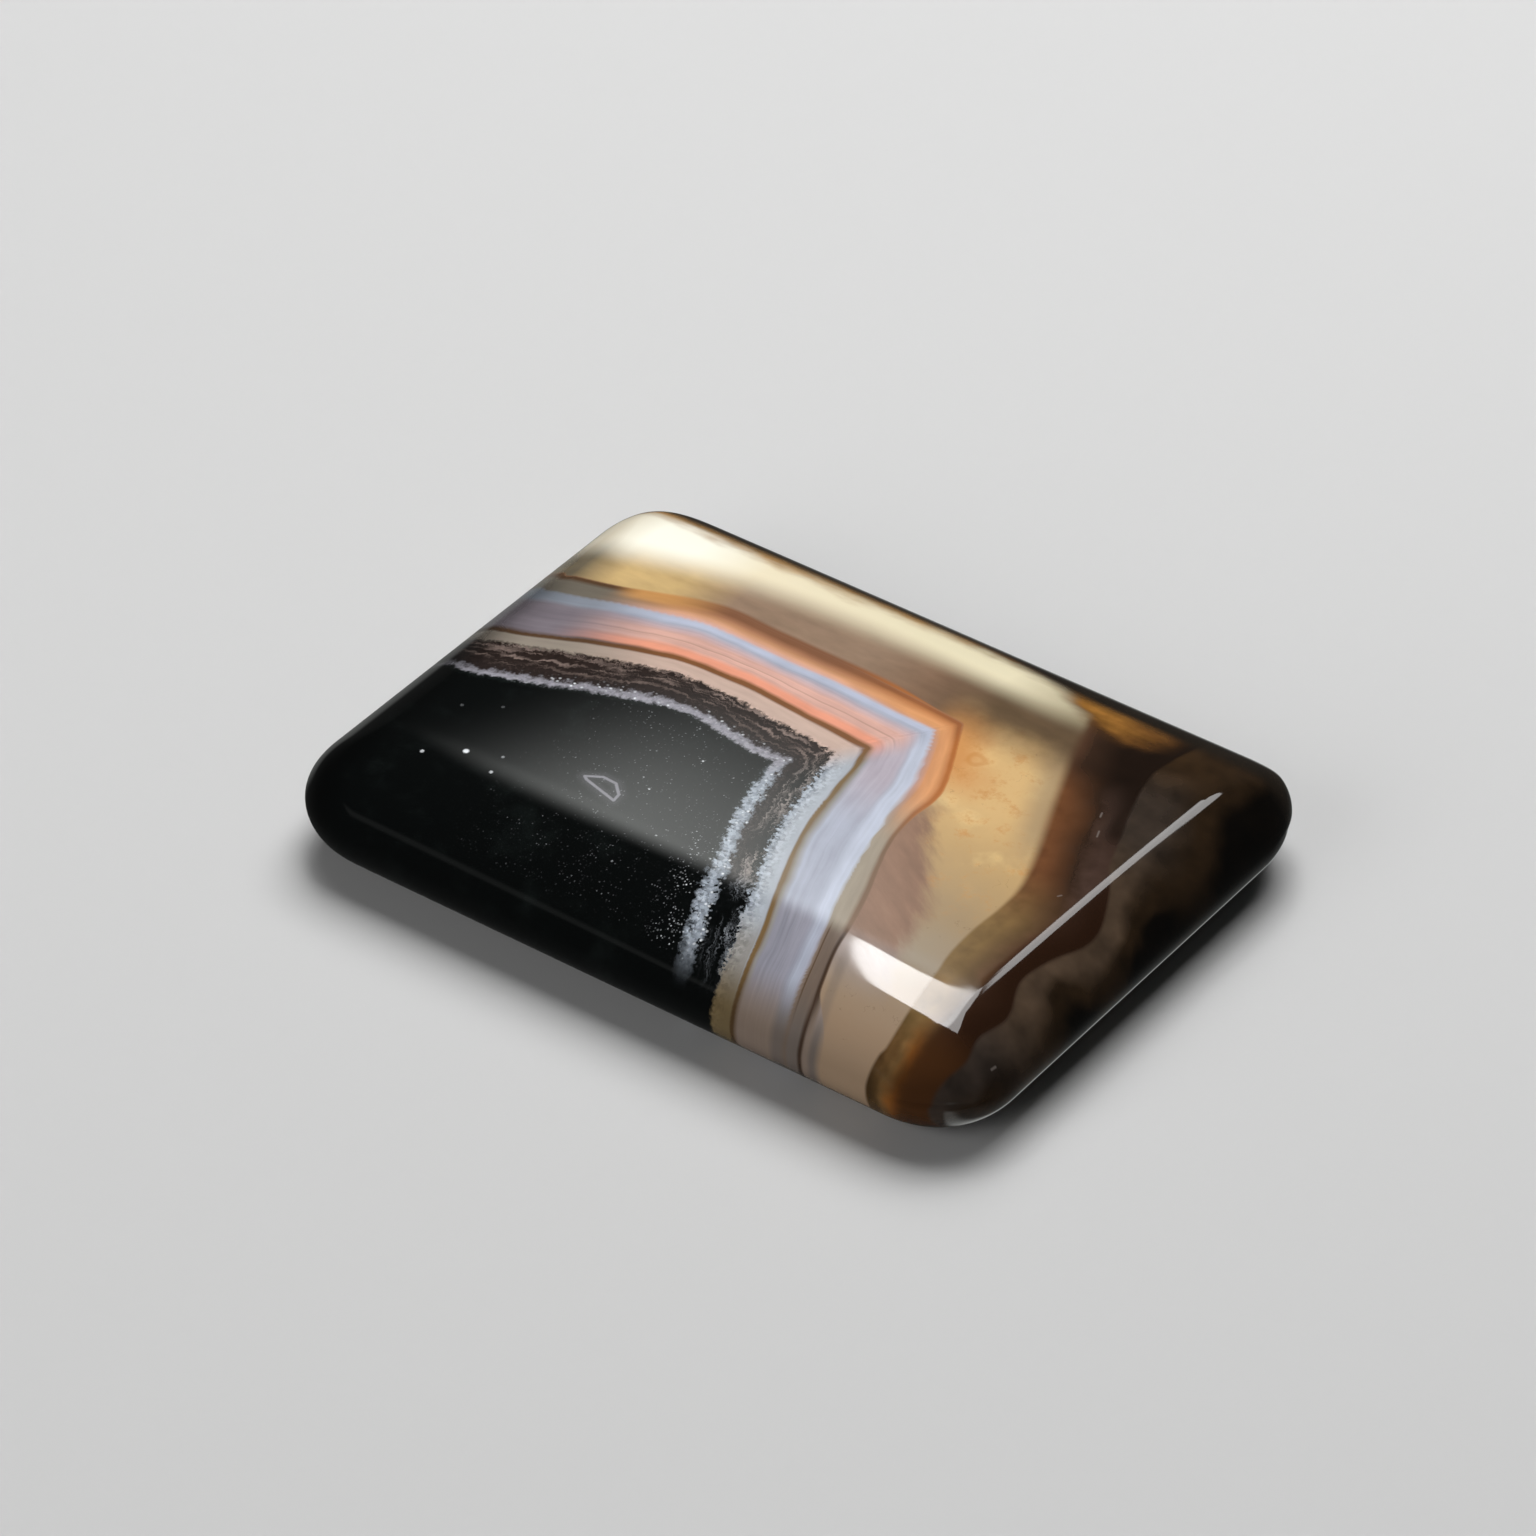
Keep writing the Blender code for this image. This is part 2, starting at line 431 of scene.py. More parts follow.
# Colours of the lower arm
STONE_GREY = paint(144, 140, 134)
STRAW = paint(112, 96, 68)
TAN_LINE = paint(118, 94, 62)
DARK_LINE = paint(80, 60, 38)
LILAC = paint(168, 172, 187)
LILAC_WARM = paint(176, 167, 177)
LILAC_DEEP = paint(143, 142, 153)
LILAC_PALE = paint(189, 195, 210)
PEACH_LOW = paint(204, 144, 100)
ORANGE_LINE = paint(174, 106, 56)
BEIGE_OLIVE = paint(156, 144, 127)
PINK_TAN = paint(134, 118, 106)
PURPLE_GREY = paint(112, 102, 95)
GREY_TAN = paint(114, 99, 88)
PLUM = paint(66, 50, 40)
RUST = paint(120, 92, 70)

# Colours of the honey zone
HONEY = paint(214, 178, 124)
HONEY_PALE = paint(228, 198, 142)
HONEY_ORANGE = paint(206, 144, 84)
HONEY_MID = paint(192, 160, 112)
HONEY_LOW = paint(163, 140, 108)
SAND = paint(155, 141, 122)
SAND_FRONT = paint(158, 134, 110)
BLOTCH = paint(196, 136, 72)
RING = paint(196, 132, 66)
MAUVE = paint(142, 110, 90)
MAUVE_GREY_TAN = paint(158, 144, 137)
MAUVE_BROWN = paint(146, 122, 102)
GOLD = paint(200, 170, 118)
GOLD_OLIVE = paint(106, 96, 78)
# Taupe: painted shade under the cream strip
TAUPE = paint(96, 78, 58)
TAUPE_LIGHT = paint(128, 102, 82)

# Colours of the brown end
BROWN_DEEP = paint(28, 18, 12)
BROWN_DARK = paint(52, 36, 26)
BROWN_RED = paint(84, 58, 42)
BROWN_WARM = paint(106, 67, 40)
BROWN_TAN = paint(124, 98, 60)
BROWN_OLIVE = paint(101, 78, 50)
BROWN_MAUVE = paint(76, 58, 50)
BROWN_FRONT = paint(104, 78, 46)
FRONT_DARK = paint(84, 60, 34)
FRONT_GLOW = paint(108, 66, 28)
FRONT_BROWN = paint(70, 42, 20)
DARK_RED = paint(40, 22, 11)
SMOKE = paint(76, 61, 48)
SMOKE_MAUVE = paint(54, 45, 38)
SMOKE_FRONT = paint(56, 47, 41)
SMOKE_BACK = paint(50, 35, 20)
SMOKE_DIM = paint(40, 28, 16)
END_DARK = paint(8, 5, 3)

# Colours of the back, all painted light: the cream strip's glow, its amber glow edge and the dark rim's
# shade; and of scratches
CREAM_SHADED = paint(214, 204, 182)
CREAM_BRIGHT = paint(255, 252, 236)
CREAM = paint(240, 228, 198)
CREAM_DULL = paint(232, 222, 190)
CREAM_GREY = paint(158, 146, 118)
AMBER = paint(140, 96, 42)
AMBER_PALE = paint(156, 120, 76)
AMBER_DARK = paint(92, 60, 28)
RIM = paint(32, 25, 18)
SCRATCH = paint(150, 140, 134)


class Graph:
    """Short ways to add nodes to a material's tree."""

    def __init__(self, tree):
        self.tree = tree

    def node(self, kind, *values, **settings):
        """A new node, with its settings and the values of its first sockets."""
        made = self.tree.nodes.new(kind)
        for name, value in settings.items():
            setattr(made, name, value)
        for socket, value in zip(made.inputs, values):
            self.feed(socket, value)
        return made

    def feed(self, socket, value):
        """Link another node's socket, or set a plain value."""
        if isinstance(value, bpy.types.NodeSocket):
            self.tree.links.new(value, socket)
        elif value is not None:
            socket.default_value = value

    def math(self, operation, *values):
        return self.node("ShaderNodeMath", *values, operation=operation).outputs[0]

    def add(self, first, second, *others):
        total = self.math("ADD", first, second)
        return self.add(total, *others) if others else total

    def times(self, first, second, *others):
        product = self.math("MULTIPLY", first, second)
        return self.times(product, *others) if others else product

    def less(self, first, second):
        """The first number less the second."""
        return self.math("SUBTRACT", first, second)

    def over(self, first, second):
        """The first number divided by the second."""
        return self.math("DIVIDE", first, second)

    def larger(self, first, second):
        return self.math("MAXIMUM", first, second)

    def above(self, value, limit):
        """1 above the limit and 0 below it."""
        return self.math("GREATER_THAN", value, limit)

    def length(self, x, y):
        return self.math("SQRT", self.add(self.times(x, x), self.times(y, y)))

    def attribute(self, name):
        return self.node("ShaderNodeAttribute", attribute_name=name).outputs["Fac"]

    def dot(self, first, second):
        return self.node("ShaderNodeVectorMath", first, second, operation="DOT_PRODUCT").outputs["Value"]

    def vector(self, x, y, z=0.0):
        return self.node("ShaderNodeCombineXYZ", x, y, z).outputs[0]

    def step(self, value, start, end):
        """From 0 to 1 as value goes from start to end, with soft ends."""
        made = self.node("ShaderNodeMapRange", value, start, end, 0.0, 1.0, interpolation_type="SMOOTHSTEP")
        return made.outputs[0]

    def window(self, value, start, full, fading, end):
        """Up from 0 at start to 1 at full, and down again from fading to end."""
        return self.times(self.step(value, start, full), self.step(value, end, fading))

    def blend(self, factor, first, second):
        """A number between two numbers."""
        return self.node("ShaderNodeMix", factor, None, first, second).outputs[0]

    def slide(self, value, start, end, first, second):
        """A number that goes from first to second as value goes from start to end."""
        return self.blend(self.step(value, start, end), first, second)

    def mix(self, factor, first, second, blend="MIX"):
        """A colour between two colours."""
        made = self.node("ShaderNodeMix", data_type="RGBA", blend_type=blend)
        self.feed(made.inputs[0], factor)
        self.feed(made.inputs[6], first)
        self.feed(made.inputs[7], second)
        return made.outputs[2]

    def turn(self, value, start, end, first, second):
        """A colour that goes from first to second as value goes from start to end."""
        return self.mix(self.step(value, start, end), first, second)

    def ramp(self, value, *stops):
        """Colours along a value. Each stop is (value, colour)."""
        low, high = stops[0][0], stops[-1][0]
        made = self.node("ShaderNodeValToRGB", self.over(self.less(value, low), high - low))
        elements = made.color_ramp.elements
        elements[0].color = stops[0][1]
        elements[1].color = stops[-1][1]
        for place, colour in stops[1:-1]:
            elements.new((place - low) / (high - low)).color = colour
        return made.outputs["Color"]

    def noise(self, vector, scale, detail=2.0, roughness=0.5):
        """Cloudy noise, centred on 0."""
        made = self.node("ShaderNodeTexNoise")
        settings = {"Vector": vector, "Scale": scale, "Detail": detail, "Roughness": roughness}
        for name, value in settings.items():
            self.feed(made.inputs[name], value)
        return self.less(made.outputs["Fac"], 0.5)

    def cells(self, vector, scale):
        """Small cells: the distance from each middle, in the vector's unit, and two numbers per cell."""
        made = self.node("ShaderNodeTexVoronoi")
        self.feed(made.inputs["Vector"], vector)
        self.feed(made.inputs["Scale"], scale)
        own = self.node("ShaderNodeSeparateColor", made.outputs["Color"]).outputs
        return self.over(made.outputs["Distance"], scale), own[0], own[1]

    def spots(self, vector, scale, radius, share):
        """Round spots of different brightness in a share of the cells."""
        away, chance, strength = self.cells(vector, scale)
        away = self.add(away, self.times(self.noise(vector, scale * 2.5, 1.0), radius * 0.6))
        shape = self.step(away, radius, radius * 0.3)
        brightness = self.add(0.12, self.times(strength, strength, 0.88))
        return self.times(shape, self.above(chance, 1.0 - share), brightness)

    def shade(self, colour, amount):
        """A colour made lighter or darker by a share."""
        gain = self.add(1.0, amount)
        return self.mix(1.0, colour, self.vector(gain, gain, gain), "MULTIPLY")


class Places(Graph):
    """Where a point of the stone lies, in millimetres and in bands, and the noises that all zones share."""

    def __init__(self, tree):
        super().__init__(tree)
        metres = self.node("ShaderNodeTexCoord").outputs["Object"]
        scaled = self.node("ShaderNodeVectorMath", metres, operation="SCALE")
        scaled.inputs["Scale"].default_value = 1 / MM
        self.place = scaled.outputs[0]
        self.x, self.y, _ = self.node("ShaderNodeSeparateXYZ", self.place).outputs
        self.band = self.attribute("band")
        self.honey_edge = self.attribute("honey_edge")
        self.smoke_edge = self.attribute("smoke_edge")
        self.cream_edge = self.attribute("cream_edge")
        # The upper and the lower arm of the bands part along the line through their bends
        across_x, across_y = BENDS_ACROSS
        past_bends = self.add(
            self.times(self.x, across_x), self.times(self.less(self.y, BENDS_START), across_y))
        self.arm = self.step(past_bends, -0.3, 0.3)
        self.cool = self.step(past_bends, -0.3, 1.6)
        self.along = self.blend(self.arm, self.x, self.times(self.y, -1.0))
        # Parts of the stone that several zones share, each from 0 to 1
        # Past the sheen's edge some bands take darker paints, partly their own tones and partly painted
        # shade
        self.lower = self.step(self.y, -8.6, -9.8)
        self.front = self.step(self.y, -12.5, -14.8)
        self.near_corner = self.step(self.y, -11.0, -13.5)
        self.golden = self.window(self.x, -15.0, -13.4, -12.6, -8.8)
        # Noises that they share: clouds, fibres that stand across the bands, and grains
        self.cloud = self.noise(self.place, 0.45, 4.0, 0.6)
        self.fibre = self.noise(self.vector(self.times(self.along, 6.0), self.band, 7.0), 1.0, 2.0)
        _, own, _ = self.cells(self.place, 6.5)
        self.grain = self.less(own, 0.5)

    def away(self, x, y):
        """Distance from a place seen from above."""
        return self.length(self.less(self.x, x), self.less(self.y, y))

    def from_line(self, start, end):
        """Distance from a short straight line seen from above."""
        run = Vector((end[0] - start[0], end[1] - start[1]))
        long = run.length_squared
        from_x, from_y = self.less(self.x, start[0]), self.less(self.y, start[1])
        part = self.add(self.times(from_x, run.x / long), self.times(from_y, run.y / long))
        part = self.node("ShaderNodeClamp", part, 0.0, 1.0).outputs[0]
        off_x = self.less(from_x, self.times(part, run.x))
        off_y = self.less(from_y, self.times(part, run.y))
        return self.length(off_x, off_y)


def uneven_band(at):
    """The band number with the waver of its lines: slight everywhere, jagged and grainy by the core."""
    drift = at.times(at.noise(at.place, 0.35, 2.0), 0.12)
    spot = at.vector(at.times(at.along, 1.4), at.times(at.band, 0.9), at.arm)
    jag = at.times(at.noise(spot, 1.0, 4.0, 0.72), 0.44)
    rough = at.times(at.noise(at.place, 2.6, 4.0, 0.7), at.blend(at.cool, 0.35, 0.60))
    fibre = at.times(at.fibre, at.blend(at.cool, 0.06, 0.26))
    grain = at.times(at.grain, at.blend(at.cool, 0.06, at.blend(at.lower, 0.16, 0.26)))
    # Inside the dark band the strands stay whole, and down the front everything is smooth
    at_edges = at.blend(at.window(at.band, 0.12, 0.3, 0.72, 0.9), 1.0, 0.35)
    at_edges = at.times(at_edges, at.blend(at.front, 1.0, 0.2))
    shake = at.add(jag, at.times(at.add(rough, fibre, grain), at_edges))
    shake = at.times(shake, at.slide(at.band, 0.2, -0.2, 1.0, 1.4))
    by_core = at.window(at.band, -1.6, -0.4, 1.0, 1.4)
    return at.add(at.band, drift, at.times(shake, by_core))


def strands(at, uneven):
    """How bright the strands in the dark band are: thin, broken, and brightest towards its outer side."""
    spot = at.vector(at.times(at.along, 0.40), at.times(uneven, 9.0), at.add(at.arm, 2.0))
    streaks = at.noise(spot, 1.0, 2.5, 0.6)
    place = at.window(uneven, 0.20, 0.62, 0.95, 1.02)
    return at.times(at.step(streaks, -0.03, 0.16), place)


def upper_inner(at, uneven):
    """The upper arm from the black core to the brown line, greyer towards the black end."""
    warm = at.ramp(
        uneven, (-0.70, BLACK), (-0.42, BLACK_CLOUD), (-0.24, WHITE_LILAC), (0.02, WHITE_LILAC),
        (0.16, BLACK_BROWN), (0.94, EDGE_BROWN), (1.04, BEIGE), (1.78, BEIGE), (1.90, BROWN_LINE),
        (2.04, BROWN_LINE), (2.12, SALMON))
    grey = at.ramp(
        uneven, (-0.60, BLACK), (-0.30, BLACK_CLOUD), (-0.14, WHITE_LILAC), (0.00, WHITE_LILAC),
        (0.14, BLACK_BROWN), (0.92, EDGE_BROWN), (1.08, BEIGE_GREY), (1.76, BEIGE_GREY), (1.90, UMBER),
        (2.02, UMBER), (2.12, MAUVE_GREY))
    colour = at.turn(at.x, -8.5, -14.5, warm, grey)
    return at.mix(strands(at, uneven), colour, STRAND)


def upper_outer(at, uneven):
    """The upper arm from the brown line outwards, peach by the bend and grey at the black end."""
    warm = at.ramp(
        uneven, (2.04, BROWN_LINE), (2.12, SALMON), (2.22, SALMON), (2.33, PINK), (2.42, PINK),
        (2.44, PINK_BROWN), (2.47, PINK), (2.56, PINK), (2.68, PINK_GREY), (2.80, LILAC), (2.87, BLUE),
        (2.94, BLUE), (3.04, PINK), (3.22, PEACH_PALE), (3.43, PEACH_DULL), (3.62, ORANGE_BROWN),
        (3.84, LINE_BACK), (4.06, LINE_BACK), (4.20, MAUVE_BROWN))
    peach = at.ramp(
        uneven, (2.93, BLUE), (3.06, PEACH), (3.20, PEACH_BRIGHT), (3.38, PEACH_BRIGHT),
        (3.66, PEACH_DEEP), (3.88, ORANGE_DARK), (4.00, ORANGE_DARK), (4.14, MAUVE_BROWN))
    bend = at.times(at.step(at.x, -3.5, 3.5), at.above(uneven, 2.94))
    colour = at.mix(bend, warm, peach)
    grey = at.ramp(
        uneven, (2.02, UMBER), (2.12, MAUVE_GREY), (2.72, MAUVE_GREY), (2.82, BLUE_GREY),
        (2.96, BLUE_GREY), (3.08, OLIVE), (3.70, OLIVE), (3.92, UMBER), (4.04, UMBER), (4.24, OLIVE_TAN))
    colour = at.turn(at.x, -10.5, -15.5, colour, grey)
    # Where the warm colours begin the outermost line is golden on its inner side
    glow = at.times(at.step(uneven, 3.25, 3.75), at.golden, 0.85)
    return at.mix(glow, colour, GOLD_BRIGHT)


def lower_inner(at, uneven):
    """The lower arm from the black core to the tan line, painted darker past the sheen's edge: partly its
    own tones, partly painted shade.
    """
    bright = at.ramp(
        uneven, (-0.90, BLACK), (-0.56, BLACK_CLOUD), (-0.32, CRYSTAL), (0.04, CRYSTAL),
        (0.18, BLACK_BROWN), (0.96, BLACK_CLOUD), (1.06, CRYSTAL), (1.40, CRYSTAL_PALE),
        (1.88, CRYSTAL_PALE), (1.96, TAN_LINE), (2.03, TAN_LINE), (2.10, STONE_GREY))
    dark = at.ramp(
        uneven, (-0.80, BLACK), (-0.36, CRYSTAL), (0.00, CRYSTAL), (0.14, BLACK), (0.94, BLACK),
        (1.05, CRYSTAL), (1.40, CRYSTAL_PALE), (1.86, CRYSTAL_PALE), (1.94, TAN_LINE), (2.03, TAN_LINE),
        (2.09, STONE_GREY))
    colour = at.mix(at.lower, bright, dark)
    shown = at.times(strands(at, uneven), at.blend(at.lower, 1.0, 0.7))
    colour = at.mix(shown, colour, at.mix(at.lower, STRAND_GREY, STRAND_COLD))
    greyer = at.times(at.step(at.y, -10.0, -12.4), at.window(uneven, 0.98, 1.06, 1.84, 1.90), 0.9)
    return at.mix(greyer, colour, STONE_GREY)


def lower_outer(at, uneven):
    """The lower arm from the tan line outwards, lilac with an orange line at the bend."""
    cool = at.ramp(
        uneven, (2.03, TAN_LINE), (2.10, STONE_GREY), (2.20, LILAC), (2.66, LILAC), (2.76, LILAC_PALE),
        (2.92, LILAC_PALE), (3.00, BEIGE_OLIVE), (3.70, BEIGE_OLIVE), (3.94, RUST), (4.06, RUST),
        (4.20, MAUVE))
    peach = at.ramp(
        uneven, (2.92, LILAC_PALE), (3.06, PINK_BROWN), (3.26, PEACH_LOW), (3.60, PEACH_BRIGHT),
        (3.80, PEACH_DEEP), (3.92, ORANGE_LINE), (4.02, ORANGE_LINE), (4.12, HONEY_ORANGE))
    bend = at.times(at.step(at.y, -3.5, 1.5), at.above(uneven, 2.92))
    colour = at.mix(bend, cool, peach)
    pinker = at.times(at.step(at.y, -3.5, 1.0), at.window(uneven, 2.1, 2.2, 2.6, 2.75))
    colour = at.mix(pinker, colour, LILAC_WARM)
    # Past the sheen's edge it is painted darker: partly its own tones, partly painted shade
    dark = at.ramp(
        uneven, (2.03, TAN_LINE), (2.09, STONE_GREY), (2.16, LILAC_DEEP), (2.66, LILAC_DEEP),
        (2.82, LILAC), (2.93, LILAC), (3.02, PINK_TAN), (3.10, GREY_TAN), (3.16, UMBER), (3.22, GREY_TAN),
        (3.84, GREY_TAN), (3.96, PLUM), (4.10, PLUM), (4.24, GREY_TAN), (4.40, MAUVE_GREY_TAN))
    return at.mix(at.lower, colour, dark)


def front_bands(at, uneven):
    """Tan and grey bands down the front side, with thin dark lines."""
    tan = at.ramp(
        uneven, (0.96, BLACK), (1.08, STRAW), (1.88, STRAW), (1.97, DARK_LINE), (2.03, DARK_LINE),
        (2.12, PINK_TAN), (2.70, PINK_TAN), (2.80, PURPLE_GREY), (2.90, PURPLE_GREY), (3.04, GREY_TAN),
        (3.22, PURPLE_GREY), (3.70, PURPLE_GREY), (3.86, PLUM), (3.96, PLUM), (4.10, PINK_TAN),
        (4.28, PINK_TAN), (4.50, PURPLE_GREY), (4.66, PURPLE_GREY), (5.10, SAND_FRONT))
    return at.turn(uneven, 0.85, 1.0, BLACK, tan)


def band_colour(at, uneven):
    """Both arms, with fine lines and clouds along them and grain by the core."""
    upper = at.mix(at.above(uneven, 2.08), upper_inner(at, uneven), upper_outer(at, uneven))
    lower = at.mix(at.above(uneven, 2.06), lower_inner(at, uneven), lower_outer(at, uneven))
    lower = at.mix(at.front, lower, front_bands(at, uneven))
    colour = at.mix(at.cool, upper, lower)
    spot = at.vector(at.times(at.along, 0.14), at.times(uneven, 13.0), at.arm)
    lines = at.times(at.noise(spot, 1.0, 3.0), at.window(uneven, 2.10, 2.25, 2.8, 3.0))
    spot = at.vector(at.times(at.along, 0.5), at.times(uneven, 3.0), 3.0)
    clouds = at.times(at.noise(spot, 1.0, 3.0), at.window(uneven, 1.0, 1.3, 3.9, 4.1))
    mottled = at.times(at.noise(at.place, 3.2, 4.0, 0.7), 1.1)
    crystals = at.add(at.times(at.grain, 0.7), at.times(at.fibre, 0.6), mottled)
    by_core = at.window(uneven, -0.9, -0.3, at.blend(at.cool, 0.95, 1.1), at.blend(at.cool, 1.2, 1.9))
    crystals = at.times(crystals, by_core, at.blend(at.cool, 0.55, 1.0))
    lines = at.times(lines, at.blend(at.lower, 0.40, 0.85))
    shades = at.add(lines, crystals, at.times(clouds, 0.35))
    return at.shade(colour, at.times(shades, at.blend(at.front, 1.0, 0.4)))


def wisps(at):
    """Small curled flaws, here and there."""
    height = at.noise(at.place, 1.3, 3.0)
    curl = at.step(at.math("ABSOLUTE", height), 0.016, 0.0)
    return at.times(curl, at.step(at.noise(at.place, 1.1, 1.0), 0.13, 0.20))


def ring(at):
    """The blurred ring."""
    away = at.add(at.away(*RING_MIDDLE), at.times(at.noise(at.place, 1.5, 2.0), 0.5))
    return at.window(away, RING_RADIUS * 0.2, RING_RADIUS * 0.9, RING_RADIUS, RING_RADIUS * 1.6)


def clear_honey(at, beyond):
    """Clear honey, greyer towards the front, with orange clouds, small flaws and one blurred ring."""
    drop = at.add(at.y, at.times(at.cloud, 2.5))
    honey = at.ramp(
        drop, (-13.5, SAND_FRONT), (-9.0, SAND), (-6.0, HONEY_LOW), (-1.5, HONEY_MID), (2.0, HONEY),
        (5.0, HONEY))
    pale = at.step(at.noise(at.place, 0.5, 3.0), 0.0, 0.22)
    pale = at.times(pale, at.step(at.y, -5.0, 0.0), 0.8)
    honey = at.mix(pale, honey, HONEY_PALE)
    by_bend = at.step(at.add(beyond, at.times(at.cloud, 2.0)), 2.8, 0.2)
    by_bend = at.times(by_bend, at.step(at.y, 0.5, 4.0), 0.9)
    honey = at.mix(by_bend, honey, HONEY_ORANGE)
    patches = at.step(at.noise(at.place, 1.0, 5.0, 0.7), 0.00, 0.24)
    patches = at.times(patches, at.step(at.y, -8.0, -3.0), 0.65)
    honey = at.mix(patches, honey, BLOTCH)
    honey = at.mix(at.times(wisps(at), 0.22), honey, BROWN_RED)
    honey = at.mix(at.times(ring(at), 0.45), honey, RING)
    duller = at.times(at.step(at.honey_edge, -1.8, -0.2), at.step(at.y, -2.0, 2.0), 0.8)
    return at.mix(duller, honey, HONEY_LOW)


def mauve_margin(at, honey, beyond):
    """The honey zone with its mauve margin outside the lower arm, in slanting streaks."""
    slant = at.dot(at.place, (0.55, 1.0, 0.0))
    streaks = at.noise(at.vector(slant, at.times(at.band, 0.45), 9.0), 0.9, 4.0, 0.6)
    mauve = at.shade(at.mix(at.lower, MAUVE, MAUVE_GREY_TAN), at.times(streaks, 0.7))
    width = at.slide(at.y, 2.5, -6.0, 0.1, 2.9)
    margin = at.add(at.less(beyond, width), at.times(streaks, 2.4))
    margin = at.times(at.step(margin, 0.7, -0.7), at.window(at.y, -12.6, -10.0, -1.0, 2.0))
    honey = at.mix(margin, honey, mauve)
    grey_line = at.times(at.window(beyond, 0.25, 0.5, 0.65, 1.0), at.step(at.y, -9.0, -11.5), 0.4)
    return at.mix(grey_line, honey, PURPLE_GREY)


def behind_colour(at):
    """Behind the upper arm: golden at the black end, then mauve brown, and by the brown end taupe, a
    painted shade under the cream strip.
    """
    behind = at.ramp(
        at.x, (-17.4, GOLD_OLIVE), (-15.4, GOLD), (-12.4, GOLD), (-9.4, MAUVE_BROWN), (-1.5, MAUVE_BROWN),
        (1.8, TAUPE_LIGHT), (5.5, TAUPE))
    streaks = at.noise(at.vector(at.times(at.x, 0.5), at.times(at.y, 1.2), 4.0), 1.0, 4.0)
    return at.shade(behind, at.times(streaks, 0.55))


def outermost_line(at, beyond, inside_it):
    """The soft outer side of the line round the bands."""
    colour = at.turn(at.y, -2.5, 2.5, at.mix(at.front, RUST, PLUM), ORANGE_LINE)
    colour = at.turn(at.x, 2.5, -3.0, colour, LINE_BACK)
    colour = at.mix(at.times(at.golden, 0.85), colour, GOLD_BRIGHT)
    width = at.slide(at.x, 0.0, 4.0, 0.5, 0.16)
    width = at.slide(at.x, -11.0, -15.0, width, 0.2)
    return at.turn(at.over(beyond, width), 1.0, 0.3, inside_it, colour)


def honey_colour(at):
    """The zone between the bands and the brown end."""
    beyond = at.less(at.band, float(len(BAND_LINES) - 1))
    honey = mauve_margin(at, clear_honey(at, beyond), beyond)
    behind = behind_colour(at)
    # Towards the back the honey gives way to the colours behind the arm, which by the brown end are the
    # taupe painted shade
    start = at.slide(at.x, 1.5, 6.5, 7.0, 5.2)
    past_start = at.less(at.y, at.add(start, at.times(at.cloud, 1.5)))
    honey = at.turn(past_start, -0.5, 3.2, honey, behind)
    # Away from the bend it begins right at the bands
    past_arm = at.add(at.y, at.slide(at.x, -3.0, -8.0, 0.0, 2.0))
    all_behind = at.turn(past_arm, 5.0, 6.0, honey, behind)
    honey = at.turn(at.x, 5.5, 3.0, honey, all_behind)
    return outermost_line(at, beyond, honey)


def smoke_colour(at):
    """The outermost wave: grey mauve over the crease, brown down the end, and nearly black at the rim."""
    past = at.add(at.smoke_edge, at.times(at.noise(at.place, 0.4, 2.0), 1.4))
    reach = at.slide(at.y, 0.5, 4.5, 1.0, 2.4)
    reach = at.blend(at.window(at.y, -12.5, -10.5, -7.5, -5.5), reach, 1.7)
    fade = at.over(past, reach)
    smoke = at.turn(at.y, 1.0, 4.5, SMOKE, SMOKE_MAUVE)
    smoke = at.turn(at.y, 6.5, 10.5, smoke, SMOKE_BACK)
    smoke = at.turn(at.y, -8.0, -12.0, smoke, SMOKE_FRONT)
    smoke = at.turn(fade, 0.6, 1.35, smoke, SMOKE_DIM)
    smoke = at.turn(fade, 1.5, 1.95, smoke, END_DARK)
    return at.shade(smoke, at.times(at.noise(at.place, 0.7, 2.0), 1.6))


def first_wave(at):
    """The brown wave next to the honey, darkest at the back and lightest near the front."""
    depth = at.add(at.honey_edge, at.times(at.cloud, 1.6))
    back = at.ramp(depth, (0.0, BROWN_RED), (0.8, BROWN_DARK), (2.4, BROWN_DEEP))
    middle = at.ramp(depth, (0.0, BROWN_WARM), (0.6, BROWN_WARM), (2.2, BROWN_DARK), (3.0, BROWN_MAUVE))
    near = at.ramp(depth, (0.0, BROWN_TAN), (0.9, BROWN_TAN), (1.6, BROWN_OLIVE), (2.6, BROWN_RED))
    front = at.ramp(
        depth, (0.0, FRONT_DARK), (0.8, BROWN_FRONT), (1.4, FRONT_GLOW), (2.0, FRONT_BROWN),
        (2.8, DARK_RED))
    patches = at.noise(at.vector(at.x, at.times(at.y, 0.7), 6.0), 0.8, 2.0)
    front = at.shade(front, at.times(patches, 2.4))
    brown = at.turn(at.y, 7.6, 4.6, back, middle)
    brown = at.turn(at.y, 0.0, -5.5, brown, near)
    brown = at.mix(at.near_corner, brown, front)
    return at.shade(brown, at.noise(at.place, 0.9, 2.5, 0.5))


